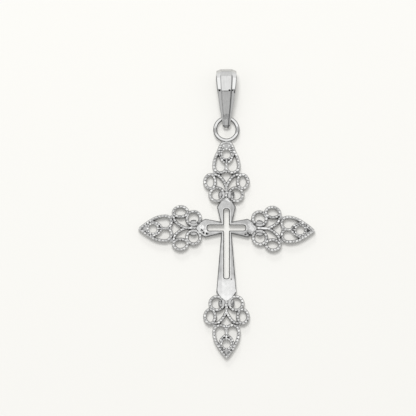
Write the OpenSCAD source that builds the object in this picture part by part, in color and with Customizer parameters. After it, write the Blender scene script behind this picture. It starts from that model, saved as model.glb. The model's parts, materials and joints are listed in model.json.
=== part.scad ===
// Filigree cross pendant in polished white metal.
// A plain flared cross with a cross-shaped window ends in four beaded scroll ends. A ring is soldered to
// the top one, and a tapered bail with three facets swings on the ring.
// The pendant lies on its back: X runs across the arms, Y up the cross and Z out of its front.
// All sizes are in millimetres. Outlines are worked out round the crossing of the cross, and the whole
// part is then moved so that the origin is under the middle of its bounding box.

/* [Cross plate] */
// From the crossing to the widest place of a short arm
flare_reach = 2.45; // [2.3:0.05:2.6]
// Half the width of a short arm at its widest place
flare_half = 1.09; // [0.95:0.01:1.15]
// Half the width of the lower arm at its widest place
lower_flare_half = 1.17; // [1:0.01:1.2]
// Half the width of the upper arm where it leaves the crossing
neck_half = 0.68; // [0.62:0.01:0.75]
// Half the width of the lower arm where it leaves the crossing
lower_neck_half = 0.6; // [0.58:0.01:0.7]
// How much further the lower arm reaches than the other three
lower_extra = 5.0; // [4:0.1:7]
// Thickness of the plate
plate_thick = 1.0; // [0.8:0.05:1.1]

/* [Window] */
// Width of both slots of the window
window_width = 0.65; // [0.55:0.01:0.75]
// From the crossing to the upper and side ends of the window
window_short = 2.22; // [1.9:0.01:2.3]
// From the crossing to the lower end of the window
window_long = 5.86; // [4:0.01:6]
// Width of the raised rim round the window
rim_width = 0.14; // [0.08:0.01:0.18]
// Height of the rim above the plate
rim_height = 0.08; // [0.04:0.01:0.12]

/* [Scroll ends] */
// Width of a beaded wire
wire_width = 0.42; // [0.38:0.01:0.46]
// Height of a beaded wire
wire_height = 1.15; // [1.1:0.01:1.2]
// Height up to which a wire has its full width
wire_shoulder = 0.8; // [0.6:0.05:0.9]
// Width of the crown of a wire, above that
crown_width = 0.26; // [0.2:0.01:0.3]
// Height of the web that closes each tip
web_height = 0.6; // [0.4:0.05:0.75]

/* [Ring] */
// Outer diameter of the ring
ring_outer = 3.03; // [2.9:0.01:3.1]
// Thickness of the ring's wire
ring_wire = 0.44; // [0.4:0.01:0.46]
// From the crossing to the middle of the ring
ring_reach = 11.5; // [11.45:0.01:11.55]
// Height of the middle of the ring's wire above the back of the pendant
ring_height = 0.72; // [0.72:0.01:0.74]

/* [Bail] */
// From the middle of the ring's wire to the place where the bail is deepest
bail_reach = 3.67; // [3.5:0.01:3.8]
// From the middle of the ring's wire to the centre of the bail's narrow end
bail_slack = 0.62; // [0.5:0.01:0.65]
// Greatest depth of the bail, front to back
bail_depth = 2.6; // [2.5:0.05:2.7]
// Depth of the bail at its narrow end, front to back
bail_eye_depth = 1.2; // [1.18:0.01:1.22]
// Greatest width of the bail
bail_width = 2.4; // [2.2:0.02:2.6]
// Width of the bail at its narrow end
bail_eye_width = 0.9; // [0.8:0.01:0.92]
// Thickness of the strap at the wide end
bail_wall = 0.38; // [0.32:0.01:0.42]
// Thickness of the strap at the narrow end
bail_eye_wall = 0.24; // [0.22:0.01:0.25]
// Radius of the soft curve from the bail's legs towards its wide end
bail_curve = 3; // [2.5:0.1:3.5]

/* [Hidden] */
$fn = 64;

// Centre-lines of the wires in the right half of a scroll end, each point as [across, outwards] from the
// crossing. A line runs through arcs: start, a point on the way, end, a point on the way, end and so on.
PETAL = [[0.03, 9.96], [0.63, 9.28], [1.11, 8.53], [1.36, 7.89], [1.44, 7.22], [0.70, 6.48], [0.02, 6.90]];
VEE = [[1.60, 6.24], [1.04, 6.18], [0.61, 5.86], [0.30, 5.43], [0.06, 4.92]];
LOOP = [[1.39, 5.88], [1.69, 6.23], [2.14, 6.16], [2.49, 5.45], [2.14, 4.74], [1.69, 4.67], [1.39, 5.02],
        [1.35, 5.45], [1.39, 5.88]];
HOOK = [[0.80, 3.20], [0.60, 3.47], [0.64, 3.80]];
SHIELD = [[0, 7.52], [0.44, 7.83], [0.62, 8.30], [0.72, 8.66], [0.90, 8.96]];

// Round wires of a scroll end, as [across, outwards, radius of the centre-line]
CURL = [1.10, 3.82, 0.78];
EYELET = [0, 8.44, 0.55];

// Bead at the end of a hook, as [across, outwards, radius]
HOOK_END = [0.77, 3.98, 0.24];

// Straight wires on the axis of a scroll end, as [from, to] outwards
STEM = [6.52, 7.90];
SPINE = [3.45, 5.00];

// Low web that closes the tip of a scroll end above its eyelet, as [across, outwards]
TIP_WEB = [[-0.9, 8.7], [0.9, 8.7], [0, 9.9]];

// Points of a plate end, measured from its widest place: the shoulder, as [half width, outwards], and the
// point in the middle
SHOULDER = [0.67, 0.70];
POINT_REACH = 1.15;

// Inner corners between the arms, on the right: the upper and the lower one
UPPER_CORNER = [neck_half, 0.75];
LOWER_CORNER = [lower_neck_half, -0.61];

// Round joints stand out of the sides of their wires by this much
joint_extra = 0.03;
// Widths of the lighter wires, as shares of the width of the others
inner_share = 0.8;
eyelet_share = 0.65;
axis_share = 0.95;

// The four arms in clockwise order, as [direction in degrees, extra reach, greatest half width, next corner]
ARMS = [
    [0, 0, flare_half, UPPER_CORNER],
    [270, 0, flare_half, LOWER_CORNER],
    [180, lower_extra, lower_flare_half, [-LOWER_CORNER[0], LOWER_CORNER[1]]],
    [90, 0, flare_half, [-UPPER_CORNER[0], UPPER_CORNER[1]]]
];

ring_radius = (ring_outer - ring_wire) / 2;
hinge_y = ring_reach + ring_radius;
// The scroll's tip stops short of the ring's centre-line, so that the ring shows whole
tip_overlap = 0.28;
tip_clear = ring_radius + tip_overlap * ring_wire;

eye_radius = bail_eye_depth / 2;
// Where the soft curve turns into a tighter one at the wide end, the strap faces this far off its length
cap_facing = 60;
curve_offset = bail_curve - bail_depth / 2;
cap_radius = bail_curve - curve_offset / sin(cap_facing);
cap_reach = bail_reach + curve_offset / tan(cap_facing);
// Slope at which a line touches both the soft curve and a circle on the bail's axis, at a distance from
// the curve along the axis
function touching_slope(distance, radius) =
    asin((bail_curve - radius) / norm([distance, curve_offset])) - atan(curve_offset / distance);
// The bail lies with its wide end on the surface that the pendant's back lies on
bail_tilt = touching_slope(bail_reach, ring_height);
// Half of the angle between the bail's two straight legs
bail_taper = touching_slope(bail_reach + bail_slack, eye_radius);
// Numbers of faces along each stretch of the bail's loop, on the front half
cap_steps = 6;
curve_steps = 6;
leg_steps = 7;
eye_steps = 7;
// Share of the bail's width that its middle facet takes, and share of the wall by which the side facets
// fall at their edges
middle_share = 0.55;
facet_drop = 0.55;
// How full the bail's sides are, how much they draw in towards the wide end, and how round the narrow
// end is
side_fullness = 0.4;
top_narrowing = 0.9;
eye_roundness = 0.55;

tip_reach = PETAL[0][1] + wire_width / 2 + joint_extra;
top_y = hinge_y + cap_reach * cos(bail_tilt) + cap_radius;
bottom_y = -(tip_reach + lower_extra);
centre_y = (top_y + bottom_y) / 2;

// Centre and radius of the circle through three points, as [x, y, radius]
function circle_through(a, b, c) =
    let (
        d = 2 * (a[0] * (b[1] - c[1]) + b[0] * (c[1] - a[1]) + c[0] * (a[1] - b[1])),
        x = (a * a * (b[1] - c[1]) + b * b * (c[1] - a[1]) + c * c * (a[1] - b[1])) / d,
        y = (a * a * (c[0] - b[0]) + b * b * (a[0] - c[0]) + c * c * (b[0] - a[0])) / d
    )
    [x, y, norm(a - [x, y])];

// A wire along the arc from a through b to c, for arcs of less than half a turn
module arc_wire(a, b, c, width) {
    circle_data = circle_through(a, b, c);
    centre = [circle_data[0], circle_data[1]];
    radius = circle_data[2];
    far = 3 * radius;
    translate(centre)
        intersection() {
            difference() {
                circle(r = radius + width / 2);
                circle(r = radius - width / 2);
            }
            polygon([
                [0, 0],
                far * (a - centre) / radius,
                far * (b - centre) / radius,
                far * (c - centre) / radius
            ]);
        }
}

// A wire along a whole line of arcs, with a round joint at each end of an arc
module wire(line, width) {
    for (i = [0:2:len(line) - 3]) arc_wire(line[i], line[i + 1], line[i + 2], width);
    for (i = [0:2:len(line) - 1]) translate(line[i]) circle(d = width + 2 * joint_extra);
}

// A round wire, given as [across, outwards, radius]
module round_wire(data, width) {
    translate([data[0], data[1]])
        difference() {
            circle(r = data[2] + width / 2);
            circle(r = data[2] - width / 2);
        }
}

// A straight wire on the axis, given as [from, to]
module axis_wire(span, width) {
    translate([-width / 2, span[0]]) square([width, span[1] - span[0]]);
}

// One scroll end, drawn upwards from the crossing
module scroll_end(width) {
    for (side = [0, 1]) mirror([side, 0]) {
        wire(PETAL, width);
        wire(VEE, width);
        wire(LOOP, width);
        wire(HOOK, width * inner_share);
        wire(SHIELD, width * inner_share);
        round_wire(CURL, width);
        translate([HOOK_END[0], HOOK_END[1]]) circle(r = HOOK_END[2] * width / wire_width);
    }
    round_wire(EYELET, width * eyelet_share);
    axis_wire(STEM, width * axis_share);
    axis_wire(SPINE, width * axis_share);
}

// All four scroll ends, cut back round the ring
module scrolls(width) {
    difference() {
        for (arm = ARMS) rotate(arm[0]) translate([0, arm[1]]) scroll_end(width);
        translate([0, ring_reach]) circle(r = tip_clear);
    }
}

// Points turned about the crossing
function turned(points, angle) =
    [for (p = points) [p[0] * cos(angle) - p[1] * sin(angle), p[0] * sin(angle) + p[1] * cos(angle)]];

// End of one arm of the plate from its left to its right edge, then the corner before the next arm
function plate_arm(arm) =
    let (
        reach = flare_reach + arm[1],
        shoulder = [SHOULDER[0], reach + SHOULDER[1]],
        left_half = [[-arm[2], reach], [-shoulder[0], shoulder[1]]],
        right_half = [shoulder, [arm[2], reach]]
    )
    concat(turned(concat(left_half, [[0, reach + POINT_REACH]], right_half), arm[0]), [arm[3]]);

// A slot with round ends between two heights
module slot(from, to, width) {
    translate([-width / 2, from + width / 2]) square([width, to - from - width]);
    for (y = [from + width / 2, to - width / 2]) translate([0, y]) circle(d = width);
}

// The cross-shaped window, grown by a margin all round
module window(margin) {
    width = window_width + 2 * margin;
    slot(-window_long - margin, window_short + margin, width);
    rotate(90) slot(-window_short - margin, window_short + margin, width);
}

// The low webs in the tips of the scroll ends
module tip_webs() {
    for (arm = ARMS) rotate(arm[0]) translate([0, arm[1]])
        difference() {
            polygon(TIP_WEB);
            translate([EYELET[0], EYELET[1]]) circle(r = EYELET[2]);
        }
}

module plate() {
    difference() {
        union() {
            linear_extrude(plate_thick) polygon([for (arm = ARMS) each plate_arm(arm)]);
            linear_extrude(plate_thick + rim_height) window(rim_width);
        }
        translate([0, 0, -plate_thick]) linear_extrude(3 * plate_thick) window(0);
    }
}

module ring() {
    translate([0, ring_reach, ring_height])
        rotate_extrude() translate([ring_radius, 0]) circle(d = ring_wire);
}

// Plate, scroll ends and ring, soldered into one piece
module filigree_cross() {
    color("silver")
        translate([0, -centre_y, 0]) {
            plate();
            linear_extrude(wire_shoulder) scrolls(wire_width);
            linear_extrude(wire_height) scrolls(crown_width);
            linear_extrude(web_height) tip_webs();
            ring();
        }
}

// Width of the bail at a distance along it from the ring's wire
function bail_width_at(along) =
    let (
        share = (along + bail_slack) / (cap_reach + bail_slack),
        inside = min(1, max(0, share)),
        over = max(0, share - 1),
        under = max(0, -(along + bail_slack) / eye_radius),
        full = bail_eye_width + (bail_width - bail_eye_width) * inside * (1 + side_fullness * (1 - inside))
    )
    full * (1 - top_narrowing * over * over) * sqrt(1 - eye_roundness * under * under);

// Places round the front half of the bail's loop, from the wide end to the narrow end. Each is
// [along, out, facing]: a point of the strap's outer face, and the way that it faces, from the bail's length
function on_arc(arc, facing) =
    [arc[0] + arc[2] * cos(facing), arc[1] + arc[2] * sin(facing), facing];
// Places along an arc, given as [along, out, radius], after its first one
function along_arc(arc, from, to, steps) =
    [for (i = [1:steps]) on_arc(arc, from + (to - from) * i / steps)];
cap_arc = [cap_reach, 0, cap_radius];
curve_arc = [bail_reach, -curve_offset, bail_curve];
eye_arc = [-bail_slack, 0, eye_radius];
leg_facing = 90 + bail_taper;
leg_top = on_arc(curve_arc, leg_facing);
leg_end = on_arc(eye_arc, leg_facing);
front_places = concat(
    [on_arc(cap_arc, 0)],
    along_arc(cap_arc, 0, cap_facing, cap_steps),
    along_arc(curve_arc, cap_facing, leg_facing, curve_steps),
    [for (i = [1:leg_steps]) leg_top + (leg_end - leg_top) * i / leg_steps],
    along_arc(eye_arc, leg_facing, 180, eye_steps)
);
// The back half mirrors the front half and runs the other way
bail_places = concat(
    front_places,
    [for (i = [len(front_places) - 2:-1:1])
        let (p = front_places[i]) [p[0], -p[1], -p[2]]]
);

// Six points of the strap's section at one place
function bail_section(place) =
    let (
        half = bail_width_at(place[0]) / 2,
        share = min(1, max(0, (place[0] + bail_slack) / (cap_reach + bail_slack))),
        wall = bail_eye_wall + (bail_wall - bail_eye_wall) * share,
        edge = wall * facet_drop,
        middle = half * middle_share
    )
    [for (p = [[-half, wall], [half, wall], [half, edge], [middle, 0], [-middle, 0], [-half, edge]])
        [p[0], place[0] - p[1] * cos(place[2]), place[1] - p[1] * sin(place[2])]];

module bail() {
    sections = [for (place = bail_places) bail_section(place)];
    count = len(sections);
    sides = len(sections[0]);
    points = [for (s = sections) each s];
    faces = [for (i = [0:count - 1]) for (k = [0:sides - 1])
        [i * sides + k, i * sides + (k + 1) % sides,
         ((i + 1) % count) * sides + (k + 1) % sides, ((i + 1) % count) * sides + k]];
    color("gainsboro")
        translate([0, hinge_y - centre_y, ring_height])
            rotate([bail_tilt, 0, 0])
                polyhedron(points, faces, convexity = 4);
}

filigree_cross();
bail();
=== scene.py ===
import json
import math
import random
from collections import namedtuple

import bmesh
import bpy
from mathutils import Matrix, Vector
from mathutils.bvhtree import BVHTree


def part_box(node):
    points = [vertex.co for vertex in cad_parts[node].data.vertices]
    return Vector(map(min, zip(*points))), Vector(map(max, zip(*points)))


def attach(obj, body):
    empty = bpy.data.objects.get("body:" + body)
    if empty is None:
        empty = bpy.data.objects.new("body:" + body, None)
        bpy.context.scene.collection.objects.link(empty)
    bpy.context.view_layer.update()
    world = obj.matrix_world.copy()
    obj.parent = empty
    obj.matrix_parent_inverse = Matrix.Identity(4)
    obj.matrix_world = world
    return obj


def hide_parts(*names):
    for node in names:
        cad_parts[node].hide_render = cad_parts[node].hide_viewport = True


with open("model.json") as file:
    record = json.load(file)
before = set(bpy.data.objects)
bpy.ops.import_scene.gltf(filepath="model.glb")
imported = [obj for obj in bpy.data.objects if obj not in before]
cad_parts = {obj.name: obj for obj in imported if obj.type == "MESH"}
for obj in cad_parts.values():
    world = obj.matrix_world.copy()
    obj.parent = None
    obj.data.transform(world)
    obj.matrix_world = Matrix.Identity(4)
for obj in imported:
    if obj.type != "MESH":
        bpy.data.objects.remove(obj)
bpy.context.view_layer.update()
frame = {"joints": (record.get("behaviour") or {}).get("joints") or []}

# A filigree cross pendant, lying on its flat back. Shapes are drawn in millimetres round the crossing of the
# cross and moved to the frame at the end. A scroll end is drawn upwards, in places [across, outwards].
# Polish runs from 0 to 1 and also carries painted light: painted shade darkens recesses, edges and dark
# lines, and painted highlights brighten tops, bands and edges.
MM = 0.001
SEED = 11

# Arms, with their direction in degrees and how much further out the scroll end sits
Arm = namedtuple("Arm", "name facing extra")
LOWER_EXTRA = 5.0
ARMS = [Arm("upper", 0, 0.0), Arm("right", 270, 0.0), Arm("lower", 180, LOWER_EXTRA), Arm("left", 90, 0.0)]

# Centre-lines of the wires in the right half of a scroll end, through arcs: start, on the way, end and so on
PETAL = [[0.03, 10.02], [0.61, 9.28], [1.10, 8.50], [1.35, 7.82], [1.43, 7.13], [0.70, 6.38], [0.02, 6.80]]
VEE = [[1.60, 6.14], [1.04, 6.09], [0.61, 5.79], [0.30, 5.38], [0.06, 4.90]]
LOOP = [[1.39, 5.78], [1.69, 6.13], [2.14, 6.06], [2.49, 5.35], [2.14, 4.64], [1.69, 4.57], [1.39, 4.92],
        [1.29, 5.35], [1.39, 5.78]]
HOOK = [[0.58, 3.10], [0.46, 3.60], [0.52, 4.00], [0.69, 4.18], [0.85, 3.98], [0.88, 3.78], [0.82, 3.58]]
SHIELD = [[0.0, 7.50], [0.46, 7.80], [0.68, 8.20], [0.82, 8.45], [0.97, 8.66]]
# Centre-lines of the wires on the middle line
STEM = [[0.0, 6.50], [0.0, 7.10], [0.0, 7.70]]
SPINE = [[0.0, 3.50], [0.0, 4.20], [0.0, 4.93]]
# Round wires, as [across, outwards, radius of the centre-line]
CURL = [1.10, 3.85, 0.78]
EYELET = [0.0, 8.53, 0.60]

# Width of a wire, and the share of it that the thinner ones have
WIRE_WIDTH = 0.42
HOOK_SHARE = 0.32
SHIELD_SHARE = 0.8
AXIS_SHARE = 0.95
EYELET_SHARE = 0.72
# Heights up to which a wire is wide and of its top
WIRE_SHOULDER = 0.78
WIRE_CROWN = 1.01
# Side of a wire, as (distance inside half its width, height)
WIRE_SIDE = [(0.03, 0.0), (0.0, 0.04), (0.0, 0.60)]
# Rounded crown, as shares of half the width and of the way from shoulder to top
CROWN_PROFILE = [(0.97, 0.0), (0.80, 0.52), (0.62, 0.86), (0.32, 0.97), (0.0, 1.0)]
# Gap between the sections of a wire, and the steps round a round wire and round a wire's end
WIRE_STEP = 0.1
ROUND_STEPS = 40
POST_STEPS = 20

# Polish and painted light of a wire: its lower walls are lightened so that they show more of the floor's
# light, and a painted dark line of shade runs below the crown, which is lighter on top. Walls and crowns have
# two values, and the heights between which the first becomes the second.
WALL_POLISH_AND_SHADE, WALL_SPAN = (0.95, 0.30), (0.55, 0.65)
CROWN_POLISH_AND_SHADE, CROWN_SPAN = (0.12, 0.60), (0.88, 0.98)
# A place is on a wall where its normal rises less than this
WALL_RISE = 0.35
# Polish of a hook's crown, which is all that lies this near to the middle of a curl
HOOK_POLISH = 0.2
HOOK_REACH = 0.52

# Beads, as (width, length). The length is also their pitch along a wire.
WIRE_BEAD = (0.26, 0.375)
SHIELD_BEAD = (0.27, 0.34)
EYELET_BEAD = (0.25, 0.32)
TIP_BEAD = (0.22, 0.27)
LAST_BEAD = (0.20, 0.30)
SPINE_BEAD = (0.24, 0.30)
# Beads that are placed one by one: three on each side of the tip's web with the way that they lie in degrees,
# one at the very tip and four down the spine
TIP_PLACES = [[0.32, 9.32], [0.56, 9.06], [0.78, 8.80]]
TIP_TURN = -57.0
LAST_PLACE = [0.0, 9.98]
SPINE_PLACES = [[0.0, 4.68], [-0.07, 4.35], [0.08, 4.04], [-0.05, 3.74]]
# Half the width and the top of the strip between the curls in which a wire's own row has no beads
BARE_HALF = 0.45
BARE_TOP = 4.80
# Where wires cross, a bead is left out if it lies within this share of its pitch from another
CROWDED = 0.62
# Heights of a bead's foot and top, and the steps round it
BEAD_FOOT = 0.90
BEAD_TOP = 1.15
BEAD_STEPS = 12
# Profile of a bead from its top, as shares of its half width and its height
BEAD_PROFILE = [[0.0, 1.0], [0.50, 0.98], [0.78, 0.89], [0.93, 0.66], [1.0, 0.30], [1.0, 0.0], [0.0, 0.0]]
# Polish of a bead's top, and the painted shade that darkens its ends and its sides past a share of its half
# length or width
BEAD_POLISH = 0.84
END_LOSS, END_FROM = 0.40, 0.76
SIDE_LOSS, SIDE_FROM = 0.32, 0.80
# How beads differ: share added to the size, factor on the polish, height lost, turn in radians and shift
SIZES = (-0.12, 0.10)
POLISHES = (0.62, 1.15)
LOSSES = (0.0, 0.05)
TURNS = (-0.25, 0.25)
SHIFTS = (-0.02, 0.02)

# Low webs between the wires, as (height, polish). The pit's floor is darkened and the corner webs are grey,
# as painted shade.
TIP_WEB = (0.93, 0.45)
WEDGE_WEB = (0.91, 0.6)
SHADED_PIT_FLOOR = (0.35, 0.05)
HOOK_FLOOR = (0.78, 0.55)
GAP_WEB = (0.86, 0.5)
SHADE_CORNER_WEB = (0.6, 0.4)
# Place towards which the tip's web leaves the eyelet, and the corners of the wedge that sharpens the tip
WEB_START = [0.95, 8.60]
WEDGE_CORNERS = [(-0.30, 9.78), (0.30, 9.78), (0, 10.24)]
# Foot and top of the pit in the tip of the right end, and how much larger its floor is
PIT_FOOT = [0.25, 9.30]
PIT_TIP = [0.0, 9.74]
PIT_GROWTH = 1.15
# Corners of the webs between the vee and the petal, and between a curl and the plate's end
GAP_CORNERS = [[0.72, 6.36], [1.43, 6.80], [1.60, 6.14], [1.04, 6.09], [0.80, 5.97]]
CURL_CORNERS = [[0.60, 3.10], [0.80, 2.83], [1.02, 2.82], [1.12, 2.98], [0.85, 3.20]]
# Steps of the arcs round a web
WEB_STEPS = 6
EYELET_STEPS = 16

# How an end lies out of true: shift outwards, and lean to the right for each millimetre past a distance
SETTLING = {
    "upper": (0.04, 0.0, 0.0),
    "right": (0.0, 0.051, 3.6),
    "lower": (-0.11, 0.0, 0.0),
    "left": (-0.05, -0.0225, 5.0),
}
# The upper tip spreads where it meets the ring: by how much, between which distances outwards and across
TIP_SPREAD = 0.26
SPREAD_OUTWARDS = (8.70, 9.90)
SPREAD_ACROSS = (0.0, 0.2)

# Painted highlights on the tops, as [across, outwards, reach], and the share of the reach that is fully
# bright
HIGHLIGHTS = {
    "upper": [[-0.30, 9.62, 0.14], [0.30, 9.62, 0.14]],
    "right": [[0.0, 3.72, 0.18], [0.02, 4.16, 0.20], [0.03, 4.36, 0.24], [0.04, 4.58, 0.22]],
    "lower": [[0.0, 4.85, 0.20]],
    "left": [[0.0, 4.10, 0.18]],
}
HIGHLIGHT_CORE = 0.6
# Dark spots of painted shade in the recesses, as [across, outwards, reach], then the share of the reach that
# is darkest and the share of its polish that is left there
SHADE_SPOTS = {
    "upper": [
        [-0.92, 8.33, 0.16], [0.90, 8.33, 0.15], [-0.12, 7.68, 0.12], [0.12, 7.68, 0.12], [0.44, 3.38, 0.20],
        [2.56, 5.73, 0.12], [1.33, 6.40, 0.14], [-0.67, 6.17, 0.14], [-1.22, 6.03, 0.14], [0.75, 6.17, 0.14],
        [0.69, 4.00, 0.15], [0.69, 3.84, 0.15], [-0.48, 3.80, 0.13], [-0.58, 3.66, 0.14],
    ],
    "right": [
        [-0.10, 7.66, 0.13], [0.20, 7.66, 0.15], [-0.64, 8.37, 0.14], [1.20, 8.30, 0.14], [-1.27, 6.06, 0.20],
        [1.08, 6.32, 0.17], [-0.46, 3.29, 0.26], [0.46, 3.35, 0.16],
    ],
    "lower": [
        [0.05, 9.67, 0.16], [-0.22, 9.47, 0.14], [0.25, 9.42, 0.14], [0.43, 9.16, 0.15], [-0.59, 9.17, 0.17],
        [0.50, 8.90, 0.13], [0.63, 6.04, 0.17], [-1.38, 6.27, 0.20], [-2.42, 5.77, 0.12], [0.42, 3.20, 0.20],
        [0.60, 3.50, 0.16], [0.64, 3.70, 0.15], [-0.72, 3.70, 0.15], [-0.66, 3.88, 0.14],
    ],
    "left": [
        [0.56, 3.27, 0.20], [-0.09, 9.68, 0.15], [-0.42, 9.35, 0.15], [0.59, 8.91, 0.13], [0.80, 8.35, 0.18],
        [-1.07, 8.23, 0.15], [0.0, 7.66, 0.14],
    ],
}
SPOT_CORE = 0.4
SPOT_POLISH = 0.15

# Painted shade from the sky seen from a place on an end: how far round it counts, the rings of directions as
# (count, degrees off upright), the least rise above the surface, the ray's start off the surface and the
# power of the painted shade
SKY_REACH = 0.5
SKY_RINGS = ((5, 30), (7, 55))
SKY_RISE = 0.1
SKY_START = 0.02
SKY_POWER = 0.55

# Plate: thickness, reach and half widths of the flared arms, then the shoulder of a pointed end, as [across,
# distance past the flare], and the distance of its point past the flare
PLATE_THICK = 1.0
FLARE_REACH = 2.45
FLARE_HALF = 1.09
LOWER_FLARE_HALF = 1.17
SHOULDER = [0.67, 0.70]
POINT_REACH = 1.15
# Corners between the arms, then each arm's left and right one
UPPER_CORNER = (0.68, 0.75)
LOWER_CORNER = (0.60, -0.66)
UPPER_LEFT_CORNER = (-UPPER_CORNER[0], UPPER_CORNER[1])
LOWER_LEFT_CORNER = (-LOWER_CORNER[0], LOWER_CORNER[1])
CORNERS = {
    "upper": [UPPER_LEFT_CORNER, UPPER_CORNER],
    "right": [UPPER_CORNER, LOWER_CORNER],
    "lower": [LOWER_CORNER, LOWER_LEFT_CORNER],
    "left": [LOWER_LEFT_CORNER, UPPER_LEFT_CORNER],
}
# Window in the plate. Its ends are round where the squareness is 1, and squarer below that.
WINDOW_WIDTH = 0.65
WINDOW_SHORT = 2.22
WINDOW_LONG = 5.86
WINDOW_SQUARENESS = 0.75
# Legs of an arm's outline, clockwise, and the steps along them. Each but the sides belongs to an eighth of a
# turn of the window's round end, from the direction in degrees that is given.
LEGS = ["side", "bend", "end", "end_back", "bend_back", "side_back"]
FACINGS = {"bend": 180, "end": 135, "end_back": 90, "bend_back": 45}
LONG_STEPS = 30
SHORT_STEPS = 12
END_STEPS = 4
# Distance from the crossing past which the face bends down, and its curvature there
BEND = (1.3, 0.075)
LOWER_BEND = (4.6, 0.030)
# Fall of the face from the rim to the outline, and where sections lie on the way
CROWN_FALL = 0.03
FACE_PARTS = (0.25, 0.5, 0.75)
# Rim of the window, outwards: distance from its edge, rise above the face, polish, share of the face's
# polish. Its edge is darkened to paint a dark line of shade, with a lighter band on the rim beyond.
RIM = [
    (-0.03, -0.16, 0.9, 0), (0.0, -0.06, 0, 0), (0.05, -0.01, 0.02, 0), (0.075, 0.0, 0.1, 0),
    (0.10, 0.015, 0.85, 0), (0.15, 0.015, 0.85, 0), (0.18, 0.0, 0, 1),
]
# Rounded edge of the plate, outwards: distance from the outline, fall below the face, share of its polish.
# The low shares paint a dark line of shade along the edge.
EDGE = [(0.13, CROWN_FALL, 1), (0.10, CROWN_FALL + 0.01, 0.3), (0.03, CROWN_FALL + 0.05, 0.2),
        (0.0, CROWN_FALL + 0.12, 0.2)]
# On the pointed ends the edge falls no further than this below the crown, and has this share of its polish
END_FALL = 0.03
END_SHARE = 1.2
# Least share of the way inwards that counts as square to the outline, so that corners don't run far in
LEAST_SQUARE = 0.35
# Walls of the plate: depth below the crown's edge from which they have their own polish, that polish, that of
# the foot, that of the window's wall, and the bevel of the foot
WALL_DEPTH = 0.2
PLATE_WALL_POLISH = 0.8
FOOT_POLISH = 0.6
WINDOW_WALL_POLISH = 0.9
FOOT_BEVEL = 0.04
# Polish of the plate's face, and what it loses between two distances to the right of the crossing
FACE_POLISH = 0.56
RIGHT_LOSS, RIGHT_SPAN = 0.09, (0.3, 0.6)
# What it gains on the arms, as (gain, distances outwards, distances across or None for the whole width)
FACE_GAINS = {
    "upper": [],
    "right": [(0.04, (1.9, 2.7), None)],
    "lower": [(0.04, (0.8, 2.5), None), (0.28, (5.2, 6.4), None), (-0.10, (0.8, 1.6), (0.45, 0.6))],
    "left": [(0.04, (1.9, 2.7), None)],
}
# Painted light on the upper edges of the side arms, which face the light, and the distances across and up in
# which it comes and ends
LIT_EDGE_SHARE = 0.5
LIT_EDGE_ACROSS = (0.7, 1.0)
LIT_EDGE_UP = (0.3, 0.5)
LIT_EDGE_TOP = (1.3, 1.1)
# The right side of the upper point gets a painted highlight, brighter still, past a height
POINT_HIGHLIGHT, POINT_FROM = 0.7, 3.2

# Where plate and wires meet: how far a bead or a wire may stand over the plate's edge, and the height that
# wires have further in, with the share of their own height that comes on top of it
BEAD_OVER = 0.06
WIRE_OVER = 0.10
LOW_HEIGHT = 0.65
LOW_SHARE = 0.05
# How far past the plate's point the wires of the upper end stay low, so that the point shows
POINT_CLEAR = 0.12

# Ring, the share of its wire's width by which the tip runs in under it, and how much further off beads stay
RING_WIRE = 0.44
RING_RADIUS = 1.295
TIP_OVERLAP = 0.28
BEAD_RING_GAP = 0.1
RING_STEPS = 96
RING_SECTION_STEPS = 24
# The ring's polish comes in where its surface faces up, between these rises of its normal, so its top is
# lighter and its sides darker as painted light and shade
RING_RISE = (0.6, 0.95)

# Bail, measured from the hinge
BAIL_REACH = 3.67
BAIL_SLACK = 0.62
BAIL_DEPTH = 2.6
BAIL_EYE_DEPTH = 1.2
BAIL_WIDTH = 2.4
BAIL_EYE_WIDTH = 0.9
BAIL_WALL = 0.38
BAIL_EYE_WALL = 0.24
BAIL_CURVE = 3.0
MIDDLE_SHARE = 0.55
FACET_DROP = 0.55
SIDE_FULLNESS = 0.4
TOP_NARROWING = 0.9
EYE_ROUNDNESS = 0.3
# Direction in degrees in which the wide end's arc passes into the front's, and the steps round the bail
CAP_FACING = 60
CAP_STEPS = 16
CURVE_STEPS = 20
LEG_STEPS = 12
EYE_STEPS = 16
# Section of the bail, from the inner face round the right side: polish of the flats, then polish and cut of
# the corners between them, and what flats and corners gain on the legs. These values paint the facets'
# reflections: painted shade on the inner face and the corners, light flats in front.
FLAT_PAINTED_LIGHT = [0.1, 0.45, 1.0, 0.95, 1.0, 0.45]
RIDGE_PAINTED_SHADE = [0.1, 0.1, 0.25, 0.12, 0.45, 0.15]
CORNER_CUTS = [0.03, 0.03, 0.07, 0.06, 0.045, 0.08]
LEG_FLAT_GAIN = [0.0, 0.3, 0.0, 0.0, 0.0, 0.3]
LEG_RIDGE_GAIN = [0.0, 0.0, 0.45, 0.0, 0.15, 0.45]
# A flat starts this many cuts from its corner, and a corner is rounded through these shares of the way round
FLAT_START = 1.8
CORNER_SHARES = (0, 1 / 3, 2 / 3, 1)
# Over the wide end the polish is a base and a share of the section's own, first a top darkened with painted
# shade, then a bright band of painted highlight
OVER_TOP = (0.56, 0.12)
BAND = (0.90, 0.08)
# Degrees of facing between which the top passes into the band and the band into the leg, how far short of the
# wide end's arc that starts, and the distances from the hinge between which the gain of the legs comes in
TOP_TO_BAND = (30, 48)
BAND_TO_LEG = (61, 67)
CAP_MARGIN = 0.1
LEG_SPAN = (3.2, 2.9)
# Dark arcs of painted shade across the strap, one about a facing and one round the eye, each with the degrees
# between which it comes in, and what they take off the polish
NECK_FACING = 115
NECK_SPAN = (9, 3)
EYE_SPAN = (158, 170)
ARC_LOSS = 0.9

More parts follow.
